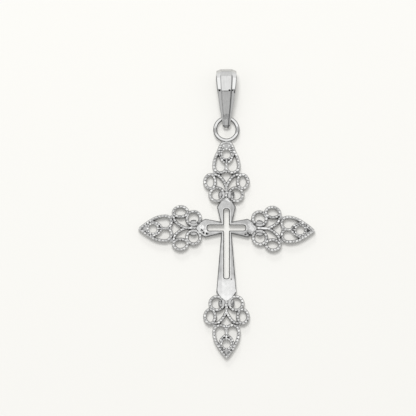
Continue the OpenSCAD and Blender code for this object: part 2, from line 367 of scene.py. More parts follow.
# Finish of the metals: greys of the dull and the bright places, which also carry the painted shade and the
# painted highlights, then the values of the worked metal
Finish = namedtuple("Finish", "dull bright smoothness mottling streaks unevenness lengthwise")
PLAIN = (1.0, 1.0, 1.0)
LENGTHWISE = (1.0, 0.06, 1.0)
FINISHES = {
    "filigree_metal": Finish(0.10, 0.97, 0.12, 0.25, 0.1, 0.3, PLAIN),
    "plate_metal": Finish(0.10, 0.95, 0.14, 0.35, 0.2, 1.0, LENGTHWISE),
    "ring_metal": Finish(0.12, 0.86, 0.08, 0.3, 0.1, 0.3, PLAIN),
    "bail_metal": Finish(0.14, 0.78, 0.05, 0.15, 0.35, 0.3, LENGTHWISE),
}
# Share of blue in the bright grey
BLUE_SHARE = 0.99
# Noise in the metal, for each metre: clouds, slow waves and the lines of drawing and filing
CLOUD_SCALE = 2500.0
WAVE_SCALE = 700.0
LINE_SCALE = 6000.0
# What a glint adds to the polish, how much of a pit is black and its colour
GLINT_GAIN = 0.5
PIT_COVER = 0.85
PIT_COLOR = (0.01, 0.01, 0.01, 1)
# Roughness that dull metal has on top and that lines add, heights of lines and of metal without pits, and the
# depth of the relief in metres
DULL_ROUGHNESS = 0.35
LINE_ROUGHNESS = 0.06
LINE_HEIGHT = 0.02
CLEAN_HEIGHT = 0.5
RELIEF = 0.00002
# Middle of a spot's speckle, and the values between which its mask and its fading rim come in
SPECKLE_MIDDLE = 0.55
SPOT_EDGE = (0.3, 0.5)
SPOT_RIM = (0.0, 0.1)
# Pits and glints: across and up from the crossing, height, reach, raggedness, depth, grain
PLATE_PITS = [
    (-2.88, -0.25, 0.96, 0.28, 2.0, 1.0, 9000), (-2.64, -0.54, 0.96, 0.26, 2.0, 1.0, 9000),
    (-3.31, -0.40, 0.93, 0.26, 2.0, 1.0, 9000), (-2.25, -0.66, 0.96, 0.24, 2.0, 1.0, 9000),
    (-3.05, -0.72, 0.93, 0.22, 2.0, 0.9, 9000), (2.19, -0.73, 0.96, 0.16, 1.2, 0.8, 9000),
    (2.70, -0.75, 0.94, 0.26, 1.6, 0.9, 9000), (3.00, -1.20, 0.93, 0.16, 1.2, 0.8, 9000),
    (0.57, -5.93, 0.97, 0.12, 0.0, 1.0, 5500), (3.31, 0.46, 0.90, 0.22, 0.0, 1.0, 5500),
    (-3.21, 0.58, 0.90, 0.16, 0.0, 0.8, 5500), (0.40, 3.36, 0.90, 0.13, 0.0, 0.8, 5500),
    (2.45, -0.62, 0.95, 0.40, 3.4, 0.6, 11000), (2.90, -0.95, 0.93, 0.40, 3.4, 0.6, 11000),
]
PLATE_GLINTS = [
    (-2.85, 0.05, 0.96, 0.55, 2.6, 0.8, 8000), (-2.50, -0.50, 0.96, 0.48, 3.0, 1.0, 9000),
    (-3.15, -0.40, 0.93, 0.45, 3.0, 1.0, 9000), (2.95, 0.0, 0.94, 0.55, 2.2, 0.6, 7000),
    (2.75, 0.32, 0.95, 0.36, 2.2, 0.5, 8000),
]
RING_PITS = [(-1.30, 11.35, 0.85, 0.75, 1.8, 0.35, 12000), (1.30, 11.4, 0.85, 0.75, 1.4, 0.30, 12000)]
BAIL_PITS = [
    (-0.80, 15.82, 2.43, 0.21, 0.0, 1.0, 5500), (0.36, 15.82, 2.50, 0.19, 0.0, 1.0, 5500),
    (0.71, 15.82, 2.46, 0.15, 0.0, 0.9, 5500), (0.90, 15.76, 2.36, 0.14, 0.0, 0.9, 5500),
    (0.92, 15.60, 2.29, 0.14, 0.0, 0.8, 5500), (-0.05, 12.9, 1.50, 0.6, 1.8, 0.2, 7000),
]

# Studio, in metres: colour and glow of the floor, what the camera sees past it, and the lamps as (name,
# power, size, place)
FLOOR_COLOR = (0.22, 0.218, 0.2095, 1)
FLOOR_GLOW = (0.318, 0.315, 0.304, 1)
BACKDROP = (0.956, 0.947, 0.913, 1)
LAMPS = [
    ("key_panel", 4.06, 0.14, (-0.03, 0.13, 0.45)),
    ("low_panel", 1.08, 0.12, (-0.06, 0.36, 0.34)),
]
# Ceiling of light. An edge is the pair of slopes off upright between which the light changes. They come with
# the light beyond the back edge, what the sides gain, and the light before the front edge.
BACK_EDGE, BACK_LIGHT = (0.735, 0.815), 0.78
SIDE_EDGE, SIDE_GAIN = (0.5, 0.7), 0.16
FRONT_EDGE, FRONT_LIGHT = (-0.555, -0.535), 0.60
# Both edges of the dark seam along the front edge, and the share of light in it
SEAM_START, SEAM_END, SEAM_LIGHT = (-0.58, -0.56), (-0.53, -0.51), 0.1
# Share of light at the horizon, the rises of a ray between which it becomes whole, and the least rise
HORIZON_LIGHT, HORIZON_SPAN = 0.85, (0.1, 0.45)
LEAST_RISE = 0.05

# View: the photograph's frame at the level of the plate's face. It shows a little of the walls that face the
# foot of the cross. Distances are in metres.
PHOTO_PIXELS = 416
PIXEL_SIZE = 0.1155
FRAME_WIDTH = PHOTO_PIXELS * PIXEL_SIZE * MM
VIEW_CENTRE = (-2.125 * MM, 0.706 * MM, PLATE_THICK * MM)
CAMERA_DISTANCE = 0.6
CAMERA_LEAN = 6.0

# Places from the frame
hinge = Vector(next(j for j in frame["joints"] if j["name"] == "bail_swing")["pos_m"])
cross_low, cross_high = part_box("filigree_cross")
CROSSING_Y = cross_low.y + cross_high.x + LOWER_EXTRA * MM
RING_HEIGHT = hinge.z / MM
RING_REACH = (hinge.y - CROSSING_Y) / MM - RING_RADIUS
RING_CENTRE = Vector((0, RING_REACH))
TIP_CLEAR = RING_RADIUS + TIP_OVERLAP * RING_WIRE
PLACE = Matrix.Translation((0, CROSSING_Y, 0)) @ Matrix.Scale(MM, 4)


# Lines and arcs

def circle_through(a, b, c):
    """Centre of the circle through three points."""
    d = 2 * (a.x * (b.y - c.y) + b.x * (c.y - a.y) + c.x * (a.y - b.y))
    aa, bb, cc = a.length_squared, b.length_squared, c.length_squared
    x = (aa * (b.y - c.y) + bb * (c.y - a.y) + cc * (a.y - b.y)) / d
    y = (aa * (c.x - b.x) + bb * (a.x - c.x) + cc * (b.x - a.x)) / d
    return Vector((x, y))


def round_points(centre, radius, angles):
    return [centre + radius * Vector((math.cos(t), math.sin(t))) for t in angles]


def arc(a, b, c, steps):
    """Points from a through b to c, both ends included."""
    a, b, c = Vector(a), Vector(b), Vector(c)
    if abs((b - a).cross(c - a)) < 1e-6:
        return [a.lerp(c, i / steps) for i in range(steps + 1)]
    centre = circle_through(a, b, c)
    start = math.atan2(a.y - centre.y, a.x - centre.x)
    whole = 2 * math.pi
    to_b = (math.atan2(b.y - centre.y, b.x - centre.x) - start) % whole
    to_c = (math.atan2(c.y - centre.y, c.x - centre.x) - start) % whole
    turn = to_c if to_b < to_c else to_c - whole
    return round_points(centre, (a - centre).length, [start + turn * i / steps for i in range(steps + 1)])


def arcs(line, steps=12):
    """Points along a line of three-point arcs."""
    points = [Vector(line[0])]
    for i in range(0, len(line) - 2, 2):
        points += arc(line[i], line[i + 1], line[i + 2], steps)[1:]
    return points


def circle_points(data, steps=48):
    """Points round a wire given as [across, outwards, radius], from its top back to its top."""
    angles = [math.pi / 2 + 2 * math.pi * i / steps for i in range(steps + 1)]
    return round_points(Vector((data[0], data[1])), data[2], angles)


def evenly(points, gap):
    """Places at about that gap along points, as (place, direction), both ends included."""
    lengths = [0.0]
    for a, b in zip(points, points[1:]):
        lengths.append(lengths[-1] + (b - a).length)
    count = max(2, round(lengths[-1] / gap))
    places, k = [], 0
    for i in range(count + 1):
        want = lengths[-1] * i / count
        while k < len(points) - 2 and lengths[k + 1] < want:
            k += 1
        share = (want - lengths[k]) / max(1e-9, lengths[k + 1] - lengths[k])
        places.append((points[k].lerp(points[k + 1], share), (points[k + 1] - points[k]).normalized()))
    return places


def smooth_share(x, low, high):
    """0 at low, 1 at high, eased in between. Low may be the greater of the two."""
    t = min(1.0, max(0.0, (x - low) / (high - low)))
    return t * t * (3 - 2 * t)


def eased(x, span, values):
    """Goes from the first value to the second while x goes through the span."""
    return values[0] + (values[1] - values[0]) * smooth_share(x, *span)


def blended(first, second, share):
    """A row of values that lies that share of the way from the first row to the second."""
    return [a + (b - a) * share for a, b in zip(first, second)]


# Mesh work

def smooth_corners(mesh, degrees=40):
    mesh.shade_smooth()
    mesh.set_sharp_from_angle(angle=math.radians(degrees))


def join(bm, part):
    """Adds a part to a piece."""
    mesh = bpy.data.meshes.new("part")
    part.to_mesh(mesh)
    part.free()
    bm.from_mesh(mesh)
    bpy.data.meshes.remove(mesh)


def kept_mesh(bm, name):
    mesh = bpy.data.meshes.new(name)
    bm.to_mesh(mesh)
    bm.free()
    return mesh


def new_piece(bm, name, matrix=PLACE):
    """A finished piece from a bmesh drawn in millimetres round the crossing."""
    bm.transform(matrix)
    mesh = kept_mesh(bm, name)
    smooth_corners(mesh)
    piece = bpy.data.objects.new(name, mesh)
    bpy.context.scene.collection.objects.link(piece)
    return piece


def polish_and_light_layer(bm):
    return bm.verts.layers.float.get("polish_and_painted_light") or bm.verts.layers.float.new("polish_and_painted_light")


def polish_and_painted_light(bm, shine):
    """Marks each place's polish together with painted light and shade, from its position and the way that it
    faces.
    """
    bmesh.ops.recalc_face_normals(bm, faces=bm.faces)
    bm.normal_update()
    layer = polish_and_light_layer(bm)
    for v in bm.verts:
        v[layer] = shine(v.co, v.normal)


def shade_recesses(bm):
    """Paints shade: takes polish off where the sky above a place is closed off by what stands close round it.
    """
    bm.normal_update()
    tree = BVHTree.FromBMesh(bm)
    layer = polish_and_light_layer(bm)
    directions = [Vector((0, 0, 1))]
    for count, lean in SKY_RINGS:
        for i in range(count):
            t, a = 2 * math.pi * i / count, math.radians(lean)
            directions.append(Vector((math.sin(a) * math.cos(t), math.sin(a) * math.sin(t), math.cos(a))))
    for v in bm.verts:
        seen = [d for d in directions if d.dot(v.normal) > SKY_RISE]
        if not seen:
            v[layer] = 0
            continue
        start = v.co + v.normal * SKY_START
        closed = sum(1 for d in seen if tree.ray_cast(start, d, SKY_REACH)[0])
        v[layer] *= (1 - closed / len(seen)) ** SKY_POWER


def loft(bm, rings, closed, shines=None):
    """Extrudes a closed ring of points from each section to the next. A closed loft ends where it starts."""
    layer = polish_and_light_layer(bm) if shines else None
    verts = [bm.verts.new(p) for p in rings[0]]
    edges = [bm.edges.new((a, b)) for a, b in zip(verts, verts[1:] + verts[:1])]
    first = list(edges)
    for i, ring in enumerate(rings):
        if i > 0:
            made = bmesh.ops.extrude_edge_only(bm, edges=edges)["geom"]
            new = {g for g in made if isinstance(g, bmesh.types.BMVert)}
            edges = [g for g in made if isinstance(g, bmesh.types.BMEdge) and set(g.verts) <= new]
            verts = [next(e.other_vert(v) for e in v.link_edges if e.other_vert(v) in new) for v in verts]
        for k, v in enumerate(verts):
            v.co = ring[k]
            if shines:
                v[layer] = shines[i][k]
    if closed:
        bmesh.ops.remove_doubles(bm, verts=bm.verts, dist=1e-5)
    else:
        bmesh.ops.contextual_create(bm, geom=first)
        bmesh.ops.contextual_create(bm, geom=edges)


def closed_loop(rings, shines, name, matrix=PLACE):
    """A piece that is one closed loop of sections, each with its polish and painted light."""
    bm = bmesh.new()
    loft(bm, rings + rings[:1], closed=True, shines=shines + shines[:1])
    bmesh.ops.recalc_face_normals(bm, faces=bm.faces)
    return new_piece(bm, name, matrix)


def spun(bm, profile, centre, steps, closed_profile):
    """Spins a profile of (radius, height) points about an upright axis. An open one starts and ends on it."""
    start = Vector((centre[0], centre[1], 0))
    verts = [bm.verts.new(start + Vector((r, 0, z))) for r, z in profile]
    pairs = zip(verts, verts[1:] + verts[:1] if closed_profile else verts[1:])
    edges = [bm.edges.new(pair) for pair in pairs]
    bmesh.ops.spin(bm, geom=verts + edges, cent=start, axis=(0, 0, 1), dvec=(0, 0, 0),
                   angle=2 * math.pi, steps=steps, use_merge=True, use_duplicate=False)
    if not closed_profile:
        bmesh.ops.remove_doubles(bm, verts=bm.verts, dist=1e-5)


# Wires

def wire_section(width):
    """Section of a wire as (across, height), round its outline: flat foot, sides, rounded crown."""
    half = width / 2
    rise = WIRE_CROWN - WIRE_SHOULDER
    right = [[half - inset, z] for inset, z in WIRE_SIDE]
    right += [[half * a, WIRE_SHOULDER + rise * z] for a, z in CROWN_PROFILE]
    left = [[-a, z] for a, z in reversed(right[:-1])]
    return right + left


def wire(bm, points, width, side):
    """A wire along points, mirrored to the left where side is -1."""
    section = wire_section(width)
    rings = []
    for place, direction in evenly(points, WIRE_STEP):
        across = Vector((direction.y, -direction.x))
        spots = [place + across * a for a, z in section]
        rings.append([Vector((side * s.x, s.y, z)) for s, (a, z) in zip(spots, section)])
    part = bmesh.new()
    loft(part, rings, closed=False)
    join(bm, part)


def round_wire(bm, data, width, side):
    profile = [[data[2] + a, z] for a, z in wire_section(width)]
    part = bmesh.new()
    spun(part, profile, [side * data[0], data[1]], ROUND_STEPS, closed_profile=True)
    join(bm, part)


def post(bm, place, width, side):
    """A round end to a wire."""
    half = [p for p in wire_section(width) if p[0] >= 0]
    part = bmesh.new()
    spun(part, [[0.0, 0.0]] + half, [side * place[0], place[1]], POST_STEPS, closed_profile=False)
    join(bm, part)


# Painted light and shade on a wire: light lower walls, a painted dark line of shade below the crown, a
# lighter top, darker hooks.
def wire_shine(co, normal):
    if normal.z < WALL_RISE:
        return eased(co.z, WALL_SPAN, WALL_POLISH_AND_SHADE)
    if (Vector((abs(co.x), co.y)) - Vector(CURL[:2])).length < HOOK_REACH:
        return HOOK_POLISH
    return eased(co.z, CROWN_SPAN, CROWN_POLISH_AND_SHADE)


def scroll_wires():
    """The bare wires of one scroll end, drawn upwards, as a mesh that all four ends start from."""
    bm = bmesh.new()
    for side in (1, -1):
        for line, share in ((PETAL, 1), (VEE, 1), (LOOP, 1), (HOOK, HOOK_SHARE), (SHIELD, SHIELD_SHARE)):
            wire(bm, arcs(line), WIRE_WIDTH * share, side)
        for place, share in ((VEE[0], 1), (HOOK[-1], HOOK_SHARE), (SHIELD[-1], SHIELD_SHARE)):
            post(bm, place, WIRE_WIDTH * share, side)
        round_wire(bm, CURL, WIRE_WIDTH, side)
    for line in (STEM, SPINE):
        wire(bm, arcs(line), WIRE_WIDTH * AXIS_SHARE, 1)
    round_wire(bm, EYELET, WIRE_WIDTH * EYELET_SHARE, 1)
    polish_and_painted_light(bm, wire_shine)
    return kept_mesh(bm, "scroll_wires")


# Beads

Bead = namedtuple("Bead", "place turn width length")


# Painted shade darkens a bead towards its ends and its sides.
def bead_shine(co, normal):
    ends = smooth_share(abs(co.x), END_FROM, 1.0)
    sides = smooth_share(abs(co.y), SIDE_FROM, 1.0)
    return BEAD_POLISH - END_LOSS * ends - SIDE_LOSS * sides


def bead_mesh():
    """One bead: a flattened dome on a foot that sinks into the wire, darkened with painted shade towards its
    neighbours.
    """
    bm = bmesh.new()
    spun(bm, BEAD_PROFILE, [0, 0], BEAD_STEPS, closed_profile=False)
    polish_and_painted_light(bm, bead_shine)
    return kept_mesh(bm, "bead")


def wire_beads():
    """Beads of one scroll end, on both sides, but for its spine. Where wires cross, one bead stays."""
    taken = []

    def along(points, size, first=0, closed=False):
        width, pitch = size
        stops = evenly(points, pitch)[first:]
        for place, direction in stops[:-1] if closed else stops:
            for side in (1, -1):
                spot = Vector((side * place.x, place.y))
                bare = abs(spot.x) < BARE_HALF and spot.y < BARE_TOP
                if not bare and all((spot - other.place).length > CROWDED * pitch for other in taken):
                    taken.append(Bead(spot, math.atan2(direction.y, side * direction.x), width, pitch))

    along(arcs(PETAL), WIRE_BEAD, first=1)
    along(arcs(LOOP), WIRE_BEAD, closed=True)
    along(arcs(VEE), WIRE_BEAD, first=1)
    along(circle_points(CURL), WIRE_BEAD, closed=True)
    along(arcs(STEM), WIRE_BEAD)
    along(arcs(SHIELD), SHIELD_BEAD)
    along(circle_points(EYELET), EYELET_BEAD, closed=True)
    for x, y in TIP_PLACES:
        for side in (1, -1):
            taken.append(Bead(Vector((x * side, y)), math.radians(90 + side * (TIP_TURN + 90)), *TIP_BEAD))
    taken.append(Bead(Vector(LAST_PLACE), math.pi / 2, *LAST_BEAD))
    return taken


def beads_of(arm):
    """Beads of one arm's end that are clear of the plate and the ring. The spine of the right end is bare."""
    spine = [] if arm.name == "right" else [Bead(Vector(p), math.pi / 2, *SPINE_BEAD) for p in SPINE_PLACES]
    placed = [bead._replace(place=settled(bead.place, arm)) for bead in wire_beads() + spine]
    placed = [bead for bead in placed if abs(bead.place.x) > end_half(bead.place.y) - BEAD_OVER]
    if arm.name == "upper":
        placed = [bead for bead in placed if (bead.place - RING_CENTRE).length > TIP_CLEAR + BEAD_RING_GAP]
    return placed


def bead_rows(beads, mesh, rng):
    """All the beads of one end, each a little different."""
    bm = bmesh.new()
    for bead in beads:
        before = len(bm.verts)
        bm.from_mesh(mesh)
        bm.verts.ensure_lookup_table()
        verts = bm.verts[before:]
        layer = polish_and_light_layer(bm)
        size = 1 + rng.uniform(*SIZES)
        shine = rng.uniform(*POLISHES)
        height = BEAD_TOP - BEAD_FOOT - rng.uniform(*LOSSES)
        for v in verts:
            v[layer] *= shine
        bmesh.ops.scale(bm, verts=verts, vec=(bead.length / 2 * size, bead.width / 2 * size, height))
        bmesh.ops.rotate(bm, verts=verts, cent=(0, 0, 0),
                         matrix=Matrix.Rotation(bead.turn + rng.uniform(*TURNS), 3, "Z"))
        place = (bead.place.x + rng.uniform(*SHIFTS), bead.place.y + rng.uniform(*SHIFTS), BEAD_FOOT)
        bmesh.ops.translate(bm, verts=verts, vec=place)
    return bm


# Scroll ends

def outlined(bm, points, height, shine, hole=()):
    """A flat-topped solid with straight sides over an outline, all of it equally polished."""
    part = bmesh.new()
    layer = polish_and_light_layer(part)
    edges = []
    for loop in [points] + ([hole] if hole else []):
        verts = [part.verts.new((p.x, p.y, 0)) for p in loop]
        edges += [part.edges.new(pair) for pair in zip(verts, verts[1:] + verts[:1])]
    bmesh.ops.triangle_fill(part, use_beauty=True, edges=edges)
    bmesh.ops.subdivide_edges(part, edges=part.edges, cuts=2, use_grid_fill=True)
    faces = list(part.faces)
    made = bmesh.ops.extrude_face_region(part, geom=faces, use_keep_orig=True)["geom"]
    top = [g for g in made if isinstance(g, bmesh.types.BMVert)]
    bmesh.ops.translate(part, verts=top, vec=(0, 0, height))
    for v in part.verts:
        v[layer] = shine
    join(bm, part)


def webs(bm, arm):
    """Fills the tip of an end, its hooks, gaps and corners. The right end's tip has an open pit whose floor
    is darkened as painted shade, and the corner webs are grey sheets of painted shade.
    """
    def on_arm(points, side=1):
        return [settled(Vector((side * x, y)), arm) for x, y in points]

    eyelet = Vector((EYELET[0], EYELET[1]))
    low = math.atan2(WEB_START[1] - eyelet.y, WEB_START[0])
    angles = [low + (math.pi - 2 * low) * i / EYELET_STEPS for i in range(EYELET_STEPS + 1)]
    inner = round_points(eyelet, EYELET[2], angles)
    petal = arcs(PETAL[:3], WEB_STEPS)
    outline = on_arm(inner) + on_arm(reversed(petal), -1) + on_arm(petal)
    if arm.name == "right":
        pit = [PIT_FOOT, PIT_TIP, (-PIT_FOOT[0], PIT_FOOT[1])]
        middle = Vector((0, (PIT_TIP[1] + 2 * PIT_FOOT[1]) / 3))
        outlined(bm, outline, *TIP_WEB, on_arm(pit))
        outlined(bm, on_arm([middle + PIT_GROWTH * (Vector(p) - middle) for p in pit]), *SHADED_PIT_FLOOR)
    else:
        outlined(bm, outline, *TIP_WEB)
    for side in (1, -1):
        outlined(bm, on_arm(arcs(HOOK, WEB_STEPS), side), *HOOK_FLOOR)
        outlined(bm, on_arm(GAP_CORNERS, side), *GAP_WEB)
        outlined(bm, on_arm(CURL_CORNERS, side), *SHADE_CORNER_WEB)
    outlined(bm, on_arm(WEDGE_CORNERS), *WEDGE_WEB)


def end_half(out):
    """Half the width of the plate's pointed end, that far out on a drawn scroll end."""
    stops = [(0.0, FLARE_HALF), (SHOULDER[1], SHOULDER[0]), (POINT_REACH, 0.0)]
    past = max(0.0, out - FLARE_REACH)
    for (a, wide), (b, narrow) in zip(stops, stops[1:]):
        if past <= b:
            return wide + (narrow - wide) * (past - a) / (b - a)
    return -1.0


def settled(place, arm):
    """Where a place of the drawn scroll end lies on one arm."""
    slide, lean, start = SETTLING[arm.name]
    moved = Vector((place.x + lean * (place.y - start), place.y + slide))
    if arm.name == "upper":
        spread = TIP_SPREAD * smooth_share(place.y, *SPREAD_OUTWARDS)
        moved.x += spread * smooth_share(abs(place.x), *SPREAD_ACROSS) * math.copysign(1.0, place.x)
    return moved


def mark_shade_and_highlights(bm, arm):
    """Paints dark spots of shade in the recesses of an end and painted highlights on other places."""
    layer = polish_and_light_layer(bm)

    def near(place, reach):
        ways = [(v, (v.co.xy - Vector(place)).length) for v in bm.verts]
        return [(v, away) for v, away in ways if away < reach]

    for across, outwards, reach in SHADE_SPOTS[arm.name]:
        for v, away in near((across, outwards), reach):
            v[layer] *= eased(away, (SPOT_CORE * reach, reach), (SPOT_POLISH, 1.0))
    for across, outwards, reach in HIGHLIGHTS[arm.name]:
        for v, away in near((across, outwards), reach):
            if v.co.z > WIRE_SHOULDER:
                v[layer] = max(v[layer], 1.0 - smooth_share(away, HIGHLIGHT_CORE * reach, reach))


def make_room(bm, arm):
    """Lowers the wires of an end inside the plate's end and, on the upper arm, under the ring."""
    past_point = POINT_CLEAR if arm.name == "upper" else 0.0
    for v in bm.verts:
        if abs(v.co.x) < end_half(v.co.y - past_point) - WIRE_OVER:
            v.co.z = min(v.co.z, LOW_HEIGHT + LOW_SHARE * v.co.z)
        if arm.name == "upper" and (v.co.to_2d() - RING_CENTRE).length < TIP_CLEAR:
            v.co.z = min(v.co.z, RING_HEIGHT)


def scroll_end(arm, wires, bead, rng):
    """Beaded wires of one scroll end, drawn upwards. They stop at the plate's end and pass under the ring."""
    bm = bmesh.new()
    bm.from_mesh(wires)
    for v in bm.verts:
        v.co.xy = settled(v.co.xy, arm)
    join(bm, bead_rows(beads_of(arm), bead, rng))
    shade_recesses(bm)
    webs(bm, arm)
    mark_shade_and_highlights(bm, arm)
    make_room(bm, arm)
    turn = Matrix.Rotation(math.radians(arm.facing), 4, "Z")
    return new_piece(bm, arm.name + "_scroll", PLACE @ turn @ Matrix.Translation((0, arm.extra, 0)))


# Plate

# A station is a place round the plate: its arm's turn, its place on the outline, its leg and how far along it
# as a share, how far the window's straight sides reach, and the way inwards, square to the outline
Station = namedtuple("Station", "turn outer leg share straight inwards")


def arm_turn(arm):
    return Matrix.Rotation(math.radians(arm.facing), 2)


def plate_stations():
    """Stations round the plate, clockwise from the upper arm."""
    stations = []
    for arm in ARMS:
        lower = arm.name == "lower"
        reach = FLARE_REACH + arm.extra
        half = LOWER_FLARE_HALF if lower else FLARE_HALF
        shoulder = (SHOULDER[0], reach + SHOULDER[1])
        turn = arm_turn(arm)
        left, right = (turn.inverted() @ Vector(c) for c in CORNERS[arm.name])
        straight = (WINDOW_LONG if lower else WINDOW_SHORT) - WINDOW_WIDTH / 2
        stops = [left, (-half, reach), (-shoulder[0], shoulder[1]), (0, reach + POINT_REACH), shoulder,
                 (half, reach), right]
        for a, b, leg in zip(stops, stops[1:], LEGS):
            steps = END_STEPS
            if leg in ("side", "side_back"):
                steps = LONG_STEPS if lower else SHORT_STEPS
            run = (Vector(b) - Vector(a)).normalized()
            for i in range(steps):
                outer = Vector(a).lerp(Vector(b), i / steps)
                stations.append(Station(turn, outer, leg, i / steps, straight, Vector((run.y, -run.x))))
    return stations


def window_edge(station, margin):
    """The place on the window's outline, grown by margin, that belongs to a station."""
    half = WINDOW_WIDTH / 2 + margin
    straight = station.straight
    if station.leg == "side":
        place = Vector((-half, half + (straight - half) * station.share))
    elif station.leg == "side_back":
        place = Vector((half, straight + (half - straight) * station.share))
    else:
        t = math.radians(FACINGS[station.leg] - 45 * station.share)
        across, out = math.cos(t), math.sin(t)
        across = math.copysign(abs(across) ** WINDOW_SQUARENESS, across)
        place = Vector((half * across, straight + half * out ** WINDOW_SQUARENESS))
    return station.turn @ place


def outline_edge(station, inset):
    """The place that far inside the plate's outline, measured square to it, on the way to the window."""
    outer = station.turn @ station.outer
    inwards = (window_edge(station, 0) - outer).normalized()
    return outer + inwards * inset / max(LEAST_SQUARE, inwards.dot(station.turn @ station.inwards))


def plate_height(place):
    """The plate's face falls a little towards the ends of the arms."""
    fall = 0.0
    for arm in ARMS:
        out = (arm_turn(arm).inverted() @ place).y
        start, bend = LOWER_BEND if arm.name == "lower" else BEND
        fall = max(fall, 0.5 * bend * max(0.0, out - start) ** 2)
    return PLATE_THICK - fall


def plate_shine(place):
    """How bright the plate's face is: a little darker right of the crossing, brighter on parts of the arms
    and most towards the lower end.
    """
    shine = FACE_POLISH - RIGHT_LOSS * smooth_share(place.x, *RIGHT_SPAN)
    for arm in ARMS:
        turned = arm_turn(arm).inverted() @ place
        for gain, outwards, across in FACE_GAINS[arm.name]:
            beside = smooth_share(turned.x, *across) if across else 1.0
            shine += gain * beside * smooth_share(turned.y, *outwards)
    return shine


def at_end(station):
    """1 on the pointed ends of the plate, fading to 0 along the bends beside them."""
    share = station.share
    return {"end": 1.0, "end_back": 1.0, "bend": share, "bend_back": 1.0 - share}.get(station.leg, 0.0)


def lit_edge(place):
    """How much painted light the plate's edge gets: on the upper edges of the side arms, which face the
    light.
    """
    up = smooth_share(place.y, *LIT_EDGE_UP) * smooth_share(place.y, *LIT_EDGE_TOP)
    return LIT_EDGE_SHARE * smooth_share(abs(place.x), *LIT_EDGE_ACROSS) * up


def cross_plate():
    """The flared cross with its window: one loop of sections between the window and the outline."""
    stations = plate_stations()
    rings, shines = [], []

    def ring(place_of, height_of, own=0.0, share=0.0):
        """A section, with its own polish and a share of the face's."""
        places = [place_of(s) for s in stations]
        rings.append([Vector((p.x, p.y, height_of(p))) for p in places])
        shines.append([own + share * plate_shine(p) for p in places])

    def edge_ring(inset, fall, share):
        """A section of the rounded edge, higher on the pointed ends, and brighter there, on the upper edges
        that get painted light and at the painted highlight of the upper point.
        """
        places = [outline_edge(s, inset) for s in stations]
        less = max(0.0, fall - CROWN_FALL - END_FALL)
        lifts = [less if s.leg in ("end", "end_back") else 0.0 for s in stations]
        rings.append([Vector((p.x, p.y, plate_height(p) - fall + up)) for p, up in zip(places, lifts)])
        shares = [max(share, END_SHARE * max(at_end(s), lit_edge(p))) for s, p in zip(stations, places)]
        gains = [POINT_HIGHLIGHT if p.y > POINT_FROM and p.x > 0.0 else 0.0 for p in places]
        shines.append([part * plate_shine(p) + gain for part, p, gain in zip(shares, places, gains)])

    ring(lambda s: window_edge(s, RIM[0][0]), lambda p: 0.0, WINDOW_WALL_POLISH)
    for margin, rise, own, share in RIM:
        ring(lambda s: window_edge(s, margin), lambda p: plate_height(p) + rise, own, share)
    for part in FACE_PARTS:
        ring(lambda s: window_edge(s, RIM[-1][0]).lerp(outline_edge(s, EDGE[0][0]), part),
             lambda p: plate_height(p) - CROWN_FALL * part ** 2, 0.0, 1.0)
    for inset, fall, share in EDGE:
        edge_ring(inset, fall, share)
    ring(lambda s: outline_edge(s, 0.0), lambda p: plate_height(p) - CROWN_FALL - WALL_DEPTH,
         PLATE_WALL_POLISH)
    ring(lambda s: outline_edge(s, 0.0), lambda p: FOOT_BEVEL, FOOT_POLISH)
    ring(lambda s: outline_edge(s, FOOT_BEVEL), lambda p: 0.0)
    return closed_loop(rings, shines, "cross_plate")


# Ring and bail

def pendant_ring():
    """The round ring, soldered to the tip of the upper scroll end."""
    bm = bmesh.new()
    turns = [2 * math.pi * i / RING_SECTION_STEPS for i in range(RING_SECTION_STEPS)]
    half = RING_WIRE / 2
    section = [[RING_RADIUS + half * math.cos(t), RING_HEIGHT + half * math.sin(t)] for t in turns]
    spun(bm, section, [0, RING_REACH], RING_STEPS, closed_profile=True)
    # Painted light and shade: lighter where the ring faces up, darker on its sides.
    polish_and_painted_light(bm, lambda co, normal: smooth_share(normal.z, *RING_RISE))
    return new_piece(bm, "pendant_ring")


def touching_slope(distance, radius):
    """Slope of the line that touches the front's arc and a circle of that radius, that far from it."""
    offset = BAIL_CURVE - BAIL_DEPTH / 2
    return math.asin((BAIL_CURVE - radius) / math.hypot(distance, offset)) - math.atan(offset / distance)


def bail_width_at(along, cap_reach):
    """Width of the strap at a distance from the hinge: narrow at the eye, full-sided, drawn in at the top."""
    share = (along + BAIL_SLACK) / (cap_reach + BAIL_SLACK)
    inside = min(1.0, max(0.0, share))
    over = max(0.0, share - 1)
    under = max(0.0, -(along + BAIL_SLACK) / (BAIL_EYE_DEPTH / 2))
    full = BAIL_EYE_WIDTH + (BAIL_WIDTH - BAIL_EYE_WIDTH) * inside * (1 + SIDE_FULLNESS * (1 - inside))
    return full * (1 - TOP_NARROWING * over * over) * math.sqrt(1 - EYE_ROUNDNESS * under * under)


def softened(corners, cuts):
    """A closed outline with its corners rounded off, each by its own cut."""
    points = []
    for i, corner in enumerate(corners):
        before = (corners[i - 1] - corner).normalized() * cuts[i]
        after = (corners[(i + 1) % len(corners)] - corner).normalized() * cuts[i]
        points.append(corner + before * FLAT_START)
        for t in CORNER_SHARES:
            points.append(corner + before * (1 - t) ** 2 + after * t ** 2)
        points.append(corner + after * FLAT_START)
    return points


def strap_row(flats, ridges):
    """Values round a softened section, from those of its flats and its corners."""
    row = []
    for i, ridge in enumerate(ridges):
        row += [flats[i - 1]] + len(CORNER_SHARES) * [ridge] + [flats[i]]
    return row


